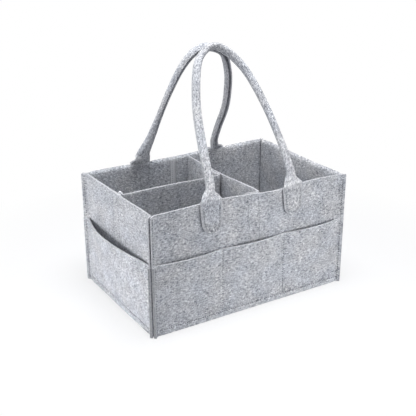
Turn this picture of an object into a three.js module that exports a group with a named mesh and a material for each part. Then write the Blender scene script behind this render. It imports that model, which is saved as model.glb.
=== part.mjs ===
// Felt diaper caddy: an open basket sewn from thick felt, with outer pockets on all four sides,
// two rolled felt handles that lean together, and two dividers held by hook and loop tape.
// Millimetres. X runs along the basket, the front wall faces -Y and Z is up. The origin is the
// middle of the rectangle that the basket stands on.

import * as THREE from 'three';

// Basket, over the outer faces of its walls
const basketLength = 330;
const basketWidth = 216;
const basketHeight = 180;
const feltThickness = 3;
const cornerMargin = 5; // how far a corner seam's raw edges stand out, along X and along Y
const bottomMargin = 7; // the bottom seam's margin, which lifts the floor off the table
const sewnGap = 0.3; // air between two faces that lie on each other

// Outer pockets
const pocketHeight = 108;
const frontPocketCount = 3;
const frontPocketGape = 6; // how far the mouth stands off the wall, at its widest
const endPocketGape = 15;
const endPocketPeak = 18; // the widest place of an end pocket's mouth, towards the back
const mouthRoundness = 1.2; // power of the mouth's bow, seen from above
const mouthSwell = 1.25; // power of the panel's lean from the bottom seam to the mouth

// Handles
const handleSpacing = 141; // between the middles of one handle's two tabs
const tabWidth = 33.5;
const tabDrop = 44.5; // the sewn tab below the rim
const tabRise = 1.5; // the fold above the rim, where the handle swings
const flareLength = 22; // from the fold to where the strip is fully rolled
const gripWidth = 14.5;
const gripThickness = 10;
const archHeight = 220; // from the fold to the middle of the strip at the top of the arch
const handleGap = 0.6; // air between the two handles where they lean together
const tabSquareness = 0.2; // power of the strip's section where it is flat

// The middle line of each handle from its right tab to its left one: shares of half the spacing and
// of the arch's height. The felt keeps a little of the bend it was packed with.
const frontArchShares = [
  [1, 0], [1.03, 0.12], [0.99, 0.31], [0.83, 0.57], [0.56, 0.82], [0.2, 0.965], [-0.12, 1],
  [-0.45, 0.93], [-0.64, 0.8], [-0.8, 0.6], [-0.88, 0.38], [-0.98, 0.15], [-1, 0],
];
const backArchShares = [
  [1, 0], [0.92, 0.1], [0.91, 0.25], [0.92, 0.42], [0.83, 0.58], [0.66, 0.76], [0.36, 0.925],
  [-0.07, 0.99], [-0.38, 0.95], [-0.58, 0.83], [-0.73, 0.63], [-0.865, 0.37], [-0.98, 0.12], [-1, 0],
];

// Dividers
const crossDividerX = 16;
const longDividerY = -9;
const crossFlapLength = 22;
const leftFlapLength = 18;
const rightFlapLength = 15;
const softBendRadius = 8; // of the long divider's right bend, along the middle of the felt

// Hook and loop tape
const tapeWidth = 24;
const tapeEndMargin = 1.5; // from the tape's ends to the rim and to the floor
const loopThickness = 1.2;
const hookThickness = 1;
const hookEdgeMargin = 1; // from the hook tape's edges to the flap's edges
const frontTapeX = 0.8;
const backTapeX = -5;
const leftTapeY = 3;
const crossTapeY = 6;

// Counts
const sectionSides = 12;
const archSteps = 36;
const leanPasses = 40;
const bendSteps = 5;
const bottomArcSteps = 8;
const pocketRows = 7;
const bayPieces = 8;
const endPocketPieces = 18;
const flareShares = [0.22, 0.42, 0.62, 0.8, 1];

// Sizes that follow from those
const halfLength = basketLength / 2;
const halfWidth = basketWidth / 2;
const layerPitch = feltThickness + sewnGap;
const floorTop = bottomMargin + feltThickness;
const innerLength = basketLength - 2 * feltThickness;
const innerWidth = basketWidth - 2 * feltThickness;
const tapeStack = sewnGap + loopThickness + sewnGap + hookThickness + sewnGap;
const dividerFoot = floorTop + sewnGap;
const dividerHeight = basketHeight - dividerFoot;
const foldDepth = halfWidth + layerPitch; // the outer face of the tabs
const foldHeight = basketHeight + tabRise;

const felt = { color: 0xa6a9af, roughness: 0.96, metalness: 0 };
const loopTape = { color: 0xcfd1d6, roughness: 0.9, metalness: 0 };
const hookTape = { color: 0xdcdee2, roughness: 0.7, metalness: 0 };

function piece(name, geometry, look) {
  const mesh = new THREE.Mesh(geometry, new THREE.MeshStandardMaterial(look));
  mesh.name = name;
  return mesh;
}

// A flat panel, box-shaped, from its lowest to its highest corner.
function slab(name, low, high, look) {
  const size = new THREE.Vector3().subVectors(high, low);
  const mesh = piece(name, new THREE.BoxGeometry(size.x, size.y, size.z), look);
  mesh.position.addVectors(low, high).divideScalar(2);
  return mesh;
}

// A closed skin over rings of points, with a flat end on the first ring and on the last. Each ring
// runs up one side of the piece and down the other, and rungs between the two fill the ends.
function skin(rings) {
  const sides = rings[0].length;
  const faces = [];
  for (let ring = 1; ring < rings.length; ring += 1) {
    for (let side = 0; side < sides; side += 1) {
      const next = (side + 1) % sides;
      const here = ring * sides;
      const before = here - sides;
      faces.push(before + side, before + next, here + next);
      faces.push(before + side, here + next, here + side);
    }
  }
  const last = (rings.length - 1) * sides;
  for (let up = 0; up < sides / 2 - 1; up += 1) {
    const down = sides - 1 - up;
    faces.push(up, down - 1, up + 1, up, down, down - 1);
    faces.push(last + up, last + up + 1, last + down - 1, last + up, last + down - 1, last + down);
  }
  const geometry = new THREE.BufferGeometry().setFromPoints(rings.flat());
  geometry.setIndex(faces);
  return geometry;
}

// Seen from above: the two edges of a strip of felt of even thickness along a line, mitred where
// the line turns. The first edge is on the line's right.
function stripEdges(line) {
  const headings = line.slice(1).map((point, i) => {
    return new THREE.Vector2().subVectors(point, line[i]).normalize();
  });
  return [-1, 1].map((side) => line.map((point, i) => {
    const into = headings[Math.max(i - 1, 0)];
    const out = headings[Math.min(i, headings.length - 1)];
    const along = new THREE.Vector2().addVectors(into, out).normalize();
    const reach = side * feltThickness / 2 / along.dot(into);
    return new THREE.Vector2(point.x - along.y * reach, point.y + along.x * reach);
  }));
}

// A strip of felt on edge, along a line seen from above.
function upright(line, height) {
  const [right, left] = stripEdges(line);
  const shape = new THREE.Shape([...right, ...left.reverse()]);
  return new THREE.ExtrudeGeometry(shape, { depth: height, bevelEnabled: false });
}

// The middle line of a panel on one side of the basket, seen from above. The side lies along X with
// its outside towards -Y. At both corners the panel turns out along the diagonal, where it is sewn
// to its neighbour, face to face. Layer 0 is the wall and layer 1 the pocket outside it.
function sideLine(halfRun, halfDepth, layer, pieces) {
  const fromDiagonal = (layer + 1 / 2) * layerPitch;
  const depth = halfDepth - feltThickness / 2 + layer * layerPitch;
  const corner = depth + halfRun - halfDepth - Math.SQRT2 * fromDiagonal;
  const edgeX = halfRun + cornerMargin - fromDiagonal / Math.SQRT2;
  const edgeDepth = halfDepth + cornerMargin + fromDiagonal / Math.SQRT2;
  const line = [new THREE.Vector2(-edgeX, -edgeDepth)];
  for (let i = 0; i <= pieces; i += 1) {
    line.push(new THREE.Vector2(corner * (2 * i / pieces - 1), -depth));
  }
  line.push(new THREE.Vector2(edgeX, -edgeDepth));
  return { line, corner };
}

function wall(name, halfRun, halfDepth) {
  const { line } = sideLine(halfRun, halfDepth, 0, 1);
  return piece(name, upright(line, basketHeight), felt);
}

// A pocket panel is sewn down along the bottom and at both corners, and its mouth bows outwards.
// bow(x) is the mouth's distance from the wall, from one corner to the other.
function pocket(name, halfRun, halfDepth, pieces, bowOf) {
  const { line, corner } = sideLine(halfRun, halfDepth, 1, pieces);
  const bow = bowOf(corner);
  const heights = Array.from({ length: pocketRows + 1 }, (_, row) => pocketHeight * row / pocketRows);
  const column = ({ x, y }) => heights.map((z) => {
    const rise = Math.max(z - bottomMargin, 0) / (pocketHeight - bottomMargin);
    return new THREE.Vector3(x, y - bow(x) * Math.pow(rise, mouthSwell), z);
  });
  const [outer, inner] = stripEdges(line);
  const rings = line.map((_, i) => [...column(inner[i]), ...column(outer[i]).reverse()]);
  return piece(name, skin(rings), felt);
}

// One bow in each pocket of a long side, down to nothing at the sewn lines between them.
function frontBow(corner) {
  return (x) => {
    const place = (Math.min(Math.abs(x), corner) * Math.sign(x) / corner + 1) / 2 * frontPocketCount;
    const share = Math.abs(Math.sin(Math.PI * place));
    return frontPocketGape * Math.pow(share, mouthRoundness);
  };
}

// One wide bow with its peak off the middle.
function endBow(peak) {
  return (corner) => (x) => {
    const reach = x < peak ? corner + peak : corner - peak;
    const share = Math.min(Math.abs(x - peak) / reach, 1);
    return endPocketGape * Math.pow(Math.abs(Math.cos(Math.PI / 2 * share)), mouthRoundness);
  };
}

// The flat end of a handle, sewn on outside the wall: straight sides and a half-round lower end.
function tab(name, x) {
  const radius = tabWidth / 2;
  const low = radius - tabDrop;
  const top = tabRise - sewnGap / 2;
  const outline = new THREE.Shape();
  outline.moveTo(radius, top);
  outline.lineTo(-radius, top);
  outline.lineTo(-radius, low);
  outline.absarc(0, low, radius, Math.PI, 2 * Math.PI);
  const geometry = new THREE.ExtrudeGeometry(outline, {
    depth: feltThickness,
    curveSegments: bottomArcSteps,
    bevelEnabled: false,
  });
  geometry.rotateX(Math.PI / 2);
  const mesh = piece(name, geometry, felt);
  mesh.position.set(x, feltThickness - foldDepth, basketHeight);
  return mesh;
}

// How far a handle leans in, so that the two all but touch over the middle of the basket.
function handleLean(shares) {
  const peak = archHeight * Math.max(...shares.map(([, z]) => z));
  let lean = 0;
  for (let pass = 0; pass < leanPasses; pass += 1) {
    const middle = gripThickness / 2 * Math.cos(lean);
    const inner = middle + Math.hypot(gripWidth / 2 * Math.cos(lean), gripThickness / 2 * Math.sin(lean));
    lean = Math.asin((foldDepth - inner - handleGap / 2) / peak);
  }
  return lean;
}

// The strip between its tabs: flat at the folds and rolled to an oval along the arch. It turns a
// quarter on its way up, so that its outer face ends uppermost. The X axis is the fold line, Z runs
// up the arch's own plane and Y points into the basket.
function handleStrap(name, shares, lean) {
  const curve = new THREE.SplineCurve(
    shares.map(([x, z]) => new THREE.Vector2(x * handleSpacing / 2, z * archHeight)),
  );
  const length = curve.getLength();
  const flares = flareShares.map((share) => share * flareLength);
  const distances = [0, ...flares];
  for (let i = 1; i < archSteps; i += 1) {
    distances.push(flareLength + (length - 2 * flareLength) * i / archSteps);
  }
  distances.push(...flares.map((flare) => length - flare).reverse(), length);
  const rings = distances.map((distance) => {
    const middle = curve.getPointAt(distance / length);
    const fromFold = Math.min(distance, length - distance);
    const share = Math.min(fromFold / flareLength, 1);
    const roll = share * share * (3 - 2 * share);
    const square = new THREE.Vector2(0, distance < length / 2 ? 1 : -1);
    const along = square.lerp(curve.getTangentAt(distance / length), roll).normalize();
    const width = tabWidth + (gripWidth - tabWidth) * roll;
    const thickness = feltThickness + (gripThickness - feltThickness) * roll;
    const power = tabSquareness + (1 - tabSquareness) * roll;
    const twist = Math.PI * fromFold / length * roll;
    const ring = [];
    for (let i = 0; i < sectionSides; i += 1) {
      const turn = -2 * Math.PI * i / sectionSides;
      const wide = width / 2 * roundedPower(Math.cos(turn), power);
      const deep = thickness / 2 * roundedPower(Math.sin(turn), power);
      const outwards = wide * Math.cos(twist) + deep * Math.sin(twist);
      const inwards = thickness / 2 + wide * Math.sin(twist) - deep * Math.cos(twist);
      const level = (sewnGap / 2 + inwards * Math.sin(lean)) / Math.cos(lean);
      ring.push(new THREE.Vector3(
        middle.x + along.y * outwards,
        inwards,
        fromFold > 0 ? middle.y - along.x * outwards : level,
      ));
    }
    return ring;
  });
  return piece(name, skin(rings), felt);
}

// A power that keeps the sign: it squares up an oval.
function roundedPower(value, power) {
  return Math.sign(value) * Math.pow(Math.abs(value), power);
}

// Two tabs and their strap on one long side.
function handle(sideName, leftX, shares) {
  const group = new THREE.Group();
  const lean = handleLean(shares);
  group.add(tab(`${sideName}_left_tab`, leftX));
  group.add(tab(`${sideName}_right_tab`, -leftX));
  const swing = new THREE.Group();
  swing.position.set(0, -foldDepth, foldHeight);
  swing.rotation.x = -lean;
  swing.add(handleStrap(`${sideName}_handle_strap`, shares, lean));
  group.add(swing);
  return group;
}

// One side of the basket, built along X with its outside towards -Y and then turned to its place.
function side(quarterTurns, ...pieces) {
  const group = new THREE.Group();
  group.rotation.z = quarterTurns * Math.PI / 2;
  group.add(...pieces);
  return group;
}

// The floor, with its margin turned down all round inside the walls and sewn to them.
function floorPanel() {
  const rectangle = (inset, z) => {
    const x = innerLength / 2 - inset;
    const y = innerWidth / 2 - inset;
    return [[x, y], [-x, y], [-x, -y], [x, -y]].map(([px, py]) => new THREE.Vector3(px, py, z));
  };
  const inner = sewnGap + feltThickness;
  return piece('floor_panel', skin([
    rectangle(inner, bottomMargin),
    rectangle(inner, 0),
    rectangle(sewnGap, 0),
    rectangle(sewnGap, floorTop),
  ]), felt);
}

// A strip of tape or felt that stands on edge from the dividers' foot, given by its plan.
function standing(name, lowX, lowY, highX, highY, look, margin) {
  return slab(
    name,
    new THREE.Vector3(lowX, lowY, dividerFoot + margin),
    new THREE.Vector3(highX, highY, dividerFoot + margin + dividerHeight - 2 * margin),
    look,
  );
}

// Loop tape sewn on the insides of three walls, where the flaps hold.
function wallTapes() {
  const half = tapeWidth / 2;
  const frontY = -innerWidth / 2 + sewnGap;
  const leftX = -innerLength / 2 + sewnGap;
  const group = new THREE.Group();
  group.add(
    standing('front_wall_loop_tape', frontTapeX - half, frontY, frontTapeX + half, frontY + loopThickness,
      loopTape, tapeEndMargin),
    standing('back_wall_loop_tape', backTapeX - half, -frontY - loopThickness, backTapeX + half, -frontY,
      loopTape, tapeEndMargin),
    standing('left_wall_loop_tape', leftX, leftTapeY - half, leftX + loopThickness, leftTapeY + half,
      loopTape, tapeEndMargin),
  );
  return group;
}

// The cross divider runs from the front wall to the back wall. Its two flaps fold towards -X and lie
// on the walls' tape, and its left face carries the tape for the long divider.
function crossDivider() {
  const left = crossDividerX - feltThickness / 2;
  const right = crossDividerX + feltThickness / 2;
  const end = innerWidth / 2 - tapeStack;
  const flapRoot = left - sewnGap;
  const flapTip = flapRoot - crossFlapLength;
  const hookFace = end + sewnGap;
  const hookBack = hookFace + hookThickness;
  const hookLow = flapTip + hookEdgeMargin;
  const hookHigh = flapRoot - hookEdgeMargin;
  const tapeX = left - sewnGap;
  const half = tapeWidth / 2;
  const group = new THREE.Group();
  group.add(
    standing('cross_divider_panel', left, -end, right, end, felt, 0),
    standing('cross_divider_front_flap', flapTip, -end, flapRoot, feltThickness - end, felt, 0),
    standing('cross_divider_back_flap', flapTip, end - feltThickness, flapRoot, end, felt, 0),
    standing('front_flap_hook_tape', hookLow, -hookBack, hookHigh, -hookFace, hookTape, tapeEndMargin),
    standing('back_flap_hook_tape', hookLow, hookFace, hookHigh, hookBack, hookTape, tapeEndMargin),
    standing('cross_divider_loop_tape', tapeX - loopThickness, crossTapeY - half, tapeX, crossTapeY + half,
      loopTape, tapeEndMargin),
  );
  return group;
}

// The long divider runs from the left end wall to the cross divider. Its left flap folds sharply and
// its right end bends softly, both towards +Y.
function longDivider() {
  const flapX = -innerLength / 2 + tapeStack;
  const faceX = crossDividerX - feltThickness / 2 - tapeStack;
  const near = longDividerY - feltThickness / 2;
  const far = longDividerY + feltThickness / 2;
  const bendX = faceX - feltThickness / 2 - softBendRadius;
  const bendY = longDividerY + softBendRadius;
  const line = [new THREE.Vector2(flapX, longDividerY)];
  for (let i = 0; i <= bendSteps; i += 1) {
    const turn = Math.PI / 2 * i / bendSteps;
    line.push(new THREE.Vector2(
      bendX + softBendRadius * Math.sin(turn),
      bendY - softBendRadius * Math.cos(turn),
    ));
  }
  const panel = piece('long_divider_panel', upright(line, dividerHeight), felt);
  panel.position.z = dividerFoot;
  const leftRoot = far + sewnGap;
  const leftTip = near + leftFlapLength;
  const rightRoot = bendY + sewnGap;
  const rightTip = rightRoot + rightFlapLength;
  const group = new THREE.Group();
  group.add(
    panel,
    standing('long_divider_left_flap', flapX, leftRoot, flapX + feltThickness, leftTip, felt, 0),
    standing('long_divider_right_flap', faceX - feltThickness, rightRoot, faceX, rightTip, felt, 0),
    standing('left_flap_hook_tape', flapX - sewnGap - hookThickness, leftRoot + hookEdgeMargin,
      flapX - sewnGap, leftTip - hookEdgeMargin, hookTape, tapeEndMargin),
    standing('right_flap_hook_tape', faceX + sewnGap, rightRoot + hookEdgeMargin,
      faceX + sewnGap + hookThickness, rightTip - hookEdgeMargin, hookTape, tapeEndMargin),
  );
  return group;
}

const longBays = frontPocketCount * bayPieces;
const tabX = handleSpacing / 2;

const caddy = new THREE.Group();
caddy.name = 'diaper_caddy';
caddy.add(
  side(
    0,
    wall('front_wall', halfLength, halfWidth),
    pocket('front_pocket', halfLength, halfWidth, longBays, frontBow),
    handle('front', -tabX, frontArchShares),
  ),
  side(
    1,
    wall('right_end_wall', halfWidth, halfLength),
    pocket('right_end_pocket', halfWidth, halfLength, endPocketPieces, endBow(endPocketPeak)),
  ),
  side(
    2,
    wall('back_wall', halfLength, halfWidth),
    pocket('back_pocket', halfLength, halfWidth, longBays, frontBow),
    handle('back', tabX, backArchShares.map(([x, z]) => [-x, z]).reverse()),
  ),
  side(
    -1,
    wall('left_end_wall', halfWidth, halfLength),
    pocket('left_end_pocket', halfWidth, halfLength, endPocketPieces, endBow(-endPocketPeak)),
  ),
  floorPanel(),
  wallTapes(),
  crossDivider(),
  longDivider(),
);

export default caddy;
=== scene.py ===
import math
from bisect import bisect_right

import bmesh
import bpy
from mathutils import Matrix, Quaternion, Vector, noise


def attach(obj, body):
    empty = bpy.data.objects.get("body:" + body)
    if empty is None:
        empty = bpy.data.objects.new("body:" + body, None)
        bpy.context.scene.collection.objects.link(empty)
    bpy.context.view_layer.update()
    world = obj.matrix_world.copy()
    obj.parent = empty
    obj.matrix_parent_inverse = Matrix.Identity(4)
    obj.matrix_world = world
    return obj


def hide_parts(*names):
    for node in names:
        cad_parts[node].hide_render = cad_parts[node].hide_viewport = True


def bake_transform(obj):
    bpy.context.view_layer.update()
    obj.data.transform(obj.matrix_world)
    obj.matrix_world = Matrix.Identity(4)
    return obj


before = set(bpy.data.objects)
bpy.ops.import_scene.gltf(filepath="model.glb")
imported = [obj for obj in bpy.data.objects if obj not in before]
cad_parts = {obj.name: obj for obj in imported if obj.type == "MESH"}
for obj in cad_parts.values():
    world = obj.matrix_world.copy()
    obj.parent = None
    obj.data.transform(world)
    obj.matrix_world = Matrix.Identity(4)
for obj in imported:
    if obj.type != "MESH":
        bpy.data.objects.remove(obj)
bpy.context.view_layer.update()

scene = bpy.context.scene
MM = 0.001  # sizes are written in millimetres and meshes are in metres


# Camera
# The camera stands before the left corner of the basket, a little above its handles, and its
# direction and distance come from the straight edges of the basket.
CAMERA_PLACE = (-0.57577, -0.918, 0.53986)
CAMERA_AZIMUTH = math.radians(-31.654)
CAMERA_ELEVATION = math.radians(21.021)
CAMERA_ROLL = math.radians(-0.252)
CAMERA_LENS = 64.01
camera = bpy.data.objects.new("camera", bpy.data.cameras.new("camera"))
scene.collection.objects.link(camera)
scene.camera = camera
towards_camera = Vector((
    math.sin(CAMERA_AZIMUTH) * math.cos(CAMERA_ELEVATION),
    -math.cos(CAMERA_AZIMUTH) * math.cos(CAMERA_ELEVATION),
    math.sin(CAMERA_ELEVATION),
))
camera.rotation_mode = "QUATERNION"
camera.rotation_quaternion = (
    (-towards_camera).to_track_quat("-Z", "Y") @ Quaternion((0, 0, 1), CAMERA_ROLL)
)
camera.location = CAMERA_PLACE
camera.data.sensor_width = 36
camera.data.lens = CAMERA_LENS
camera.data.clip_start = 0.05
camera.data.clip_end = 30


# Walls
# Four strips of needled polyester felt, 3 mm thick, stand on edge. At each corner the ends of two
# neighbours are turned out along the diagonal and lie face to face, where they are sewn.
FELT = 3
GAP = 0.3  # between two layers that touch on the real basket
PITCH = FELT + GAP
HALF_LENGTH = 165
HALF_WIDTH = 108
HEIGHT = 180
POCKET_HEIGHT = 108
CORNER_MARGIN = 5
BOTTOM_MARGIN = 7
TAB_X = 70.5  # from the middle of a long wall to the middle of a handle's tab
CROSS_X = 16  # of the divider from front to back
GROOVE = 0.9  # half the width of the furrow that a line of stitches pulls into the felt
PRESSED = 0.62  # share of the felt's thickness that is left under a line of stitches
CELL = 5  # of the mesh
SLIVER = 0.05  # no row of cells is narrower
SAME_ROW = 0.01  # a row of the mesh this near a line lies on it


def linear(code):
    """The linear colour of an sRGB hex code."""
    channels = [int(code[i:i + 2], 16) / 255 for i in (1, 3, 5)]
    return [c / 12.92 if c < 0.04045 else ((c + 0.055) / 1.055) ** 2.4 for c in channels] + [1]


def add(tree, kind, inputs=(), stops=(), **settings):
    """Adds a shader node with its settings, values and links, and the stops of a colour ramp.
    A node that is given as a value stands for its first output."""
    made = tree.nodes.new("ShaderNode" + kind)
    for i, (position, colour) in enumerate(stops):
        elements = made.color_ramp.elements
        stop = elements[i] if i < len(elements) else elements.new(position)
        stop.position = position
        stop.color = colour
    for name, value in settings.items():
        setattr(made, name, value)
    for socket, value in dict(inputs).items():
        if isinstance(value, bpy.types.Node):
            value = value.outputs[0]
        if isinstance(value, bpy.types.NodeSocket):
            tree.links.new(value, made.inputs[socket])
        else:
            made.inputs[socket].default_value = value
    return made


def new_material(name):
    """An empty material and its node tree."""
    material = bpy.data.materials.new(name)
    material.use_nodes = True
    material.node_tree.nodes.clear()
    return material, material.node_tree


def melange_felt():
    """Needled polyester felt of mixed grey fibres. The fibres lie every way in the sheet, which
    gives a fine grain of short pale and dark streaks on a surface with no gloss, and the mix of
    fibres drifts slowly between cool and warm grey."""
    material, tree = new_material("needled_melange_felt")
    cut = add(tree, "TexCoord").outputs["UV"]
    # Fibre bundles are drawn several times as coarse as real ones, so that they show.
    bend = add(tree, "TexNoise", {"Vector": cut, "Scale": 1 / (9 * MM), "Detail": 1})
    bent = add(tree, "VectorMath", {0: bend.outputs["Color"], 1: (5 * MM,) * 3},
               operation="MULTIPLY")
    path = add(tree, "VectorMath", {0: cut, 1: bent}, operation="ADD")
    tone = add(tree, "TexNoise", {
        "Vector": cut, "Scale": 1 / (2.4 * MM), "Detail": 4, "Roughness": 0.75,
    })
    for turn in (0.2, 1.1, 2.9):
        laid = add(tree, "Mapping", {
            "Vector": path,
            "Rotation": (0, 0, turn),
            "Scale": (5.5 * MM, 1.3 * MM, 1),
        }, vector_type="TEXTURE")
        streaks = add(tree, "TexNoise", {
            "Vector": laid, "Scale": 1, "Detail": 1, "Roughness": 0.6,
        })
        tone = add(tree, "Math", {0: tone, 1: streaks}, operation="ADD")
    blend = add(tree, "TexNoise", {
        "Vector": cut, "Scale": 1 / (24 * MM), "Detail": 3, "Roughness": 0.6,
    })
    shade = add(tree, "Math", {0: blend, 1: 0.55, 2: tone}, operation="MULTIPLY_ADD")
    share = add(tree, "MapRange", {"Value": shade, "From Min": 1.82, "From Max": 2.73})
    ramp = add(tree, "ValToRGB", {"Fac": share},
               stops=[(0, linear("#62656d")), (1, linear("#f2f3f4")), (0.5, linear("#bbbdc2"))])
    drift = add(tree, "TexNoise", {"Vector": cut, "Scale": 1 / (38 * MM), "Detail": 2})
    tint = add(tree, "ValToRGB", {"Fac": drift},
               stops=[(0.35, (0.965, 0.98, 1, 1)), (0.65, (1, 0.99, 0.975, 1))])
    colour = add(tree, "VectorMath", {0: ramp, 1: tint}, operation="MULTIPLY")
    relief = add(tree, "Bump", {"Height": tone, "Strength": 0.8, "Distance": 0.5 * MM})
    surface = add(tree, "BsdfPrincipled", {
        "Base Color": colour,
        "Roughness": 0.95,
        "Specular IOR Level": 0.15,
        "Sheen Weight": 0.12,
        "Sheen Roughness": 0.6,
        "Normal": relief,
    })
    add(tree, "OutputMaterial", {"Surface": surface})
    return material


def cut_felt_with_painted_shade():
    """The cut edge of the same felt, where the ends of the fibres stand out pale and dull. At the
    four corners, below the pockets' mouths, the edges are darkened with painted shade, which
    stands in for the shade between the stacked raw edges."""
    material, tree = new_material("cut_edge_of_felt_with_painted_corner_shade")
    place = add(tree, "TexCoord").outputs["Object"]
    tufts = add(tree, "TexNoise", {"Vector": place, "Scale": 1 / (2.2 * MM), "Detail": 3})
    ramp = add(tree, "ValToRGB", {"Fac": tufts},
               stops=[(0.3, linear("#a2a4a9")), (0.62, linear("#cfd0d3"))])
    axes = add(tree, "SeparateXYZ", {"Vector": place})
    beyond = []
    for axis, half in (("X", HALF_LENGTH), ("Y", HALF_WIDTH)):
        size = add(tree, "Math", {0: axes.outputs[axis]}, operation="ABSOLUTE")
        beyond.append(add(tree, "Math", {0: size, 1: (half + 1) * MM}, operation="SUBTRACT"))
    # Painted shade: the raw edges at the corners, below the pockets' mouths, are darkened to 0.62
    # of their colour.
    corner_shade_mask = add(tree, "Math", {0: POCKET_HEIGHT * MM, 1: axes.outputs["Z"]},
                    operation="SUBTRACT")
    for distance in beyond:
        corner_shade_mask = add(tree, "Math", {0: corner_shade_mask, 1: distance}, operation="MINIMUM")
    shade = add(tree, "MapRange", {
        "Value": corner_shade_mask, "From Max": 1 * MM, "To Min": 1, "To Max": 0.62,
    })
    colour = add(tree, "VectorMath", {0: ramp, "Scale": shade}, operation="SCALE")
    relief = add(tree, "Bump", {"Height": tufts, "Strength": 0.5, "Distance": 0.5 * MM})
    surface = add(tree, "BsdfPrincipled", {
        "Base Color": colour, "Roughness": 1, "Specular IOR Level": 0.1, "Normal": relief,
    })
    add(tree, "OutputMaterial", {"Surface": surface})
    return material


felt = melange_felt()
felt_edge_with_painted_shade = cut_felt_with_painted_shade()


def smooth(share):
    """A share between 0 and 1 that starts and ends softly."""
    share = min(max(share, 0), 1)
    return share * share * (3 - 2 * share)


STRAY = 1.1  # of the felt from its true place
STRAY_REACH = 75
CORNER_SPREAD = Vector((4, 3, 3.5))
CORNER_REACH = 120
FRONT_REACH = 14  # of the front rim's own strays, back over the flap that lies there
FRONT_WAVES = [(-60, 2.9, 48), (38, -2.2, 28), (114, 1.6, 26)]  # place, height and reach
WAVE_FOOT = 110
RIM_SLIP = 2.8  # of the front rim to the left
SLIP_FOOT = 130
DIVIDER_BOW = 6  # of the cross divider to the left
DIVIDER_TWIST = 1.5
BOW_REACH = 40
noise.seed_set(1)  # otherwise the noise starts from the time of day


def slack(point):
    """How far sewn felt strays from true at a place, the same for all layers that lie there.
    The back right corner has spread and its rim stands a little higher, the front rim waves and
    has slipped a little to the left, and the divider from front to back bows to the left."""
    ground = Vector((point.x, point.y, 0))
    stray = noise.noise_vector(ground / STRAY_REACH) * STRAY
    from_corner = (ground - Vector((HALF_LENGTH, HALF_WIDTH, 0))).length
    stray += CORNER_SPREAD * math.exp(-(from_corner / CORNER_REACH) ** 2)
    stray.z *= point.z / HEIGHT
    at_front = math.exp(-((point.y + HALF_WIDTH) / FRONT_REACH) ** 2)
    in_waves = smooth((point.z - WAVE_FOOT) / (HEIGHT - WAVE_FOOT))
    for middle, height, reach in FRONT_WAVES:
        wave = height * math.exp(-((point.x - middle) / reach) ** 2)
        stray.z += wave * at_front * in_waves
    between_corners = max(1 - (point.x / HALF_LENGTH) ** 2, 0)
    slipped = smooth((point.z - SLIP_FOOT) / (HEIGHT - SLIP_FOOT))
    stray.x -= RIM_SLIP * between_corners * at_front * slipped
    share = point.y / HALF_WIDTH
    bow = DIVIDER_BOW * max(1 - share * share, 0) + DIVIDER_TWIST * share
    stray.x -= bow * math.exp(-((point.x - CROSS_X) / BOW_REACH) ** 2)
    return stray


BEND_STEPS = 4


def rounded(points, reach):
    """A line seen from above, with a round bend of that reach at each inner point."""
    line = [Vector(points[0])]
    for before, corner, after in zip(points, points[1:], points[2:]):
        corner = Vector(corner)
        start = corner + (Vector(before) - corner).normalized() * reach
        end = corner + (Vector(after) - corner).normalized() * reach
        for i in range(BEND_STEPS + 1):
            t = i / BEND_STEPS
            line.append(start * (1 - t) ** 2 + corner * 2 * t * (1 - t) + end * t ** 2)
    line.append(Vector(points[-1]))
    return line


def walked(line):
    """The distances of a line's points from its start."""
    distances = [0]
    for before, after in zip(line, line[1:]):
        distances.append(distances[-1] + (after - before).length)
    return distances


def on_line(line, distances, distance):
    """The place at a distance along a line."""
    i = min(max(bisect_right(distances, distance) - 1, 0), len(line) - 2)
    share = (distance - distances[i]) / (distances[i + 1] - distances[i])
    return line[i].lerp(line[i + 1], share)


def spread(low, high, kept=(), furrows=()):
    """Rows of a mesh between two distances, at each kept place and across each furrow."""
    fixed = sorted({low, high, *kept})
    fixed += [f + side * GROOVE for f in furrows for side in (-1, 0, 1)]
    fixed.sort()
    rows = [fixed[0]]
    for place in fixed[1:]:
        room = place - rows[-1]
        if room < SLIVER:
            continue
        count = max(1, round(room / CELL))
        start = rows[-1]
        rows += [start + room * i / count for i in range(1, count + 1)]
    return rows


PATTERN_STEP = Vector((0.37, 0.23))  # in metres, so that no two pieces show the same pattern
EDGE_WEAR = 0.55
WORN_ANGLE = math.radians(50)  # a sharper edge is worn round
pieces_cut = []


def into_scene(name, shape, finishes):
    """Makes a shape an object of the scene, with its materials."""
    mesh = bpy.data.meshes.new(name)
    shape.to_mesh(mesh)
    shape.free()
    for finish in finishes:
        mesh.materials.append(finish)
    piece = bpy.data.objects.new(name, mesh)
    scene.collection.objects.link(piece)
    return piece


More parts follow.
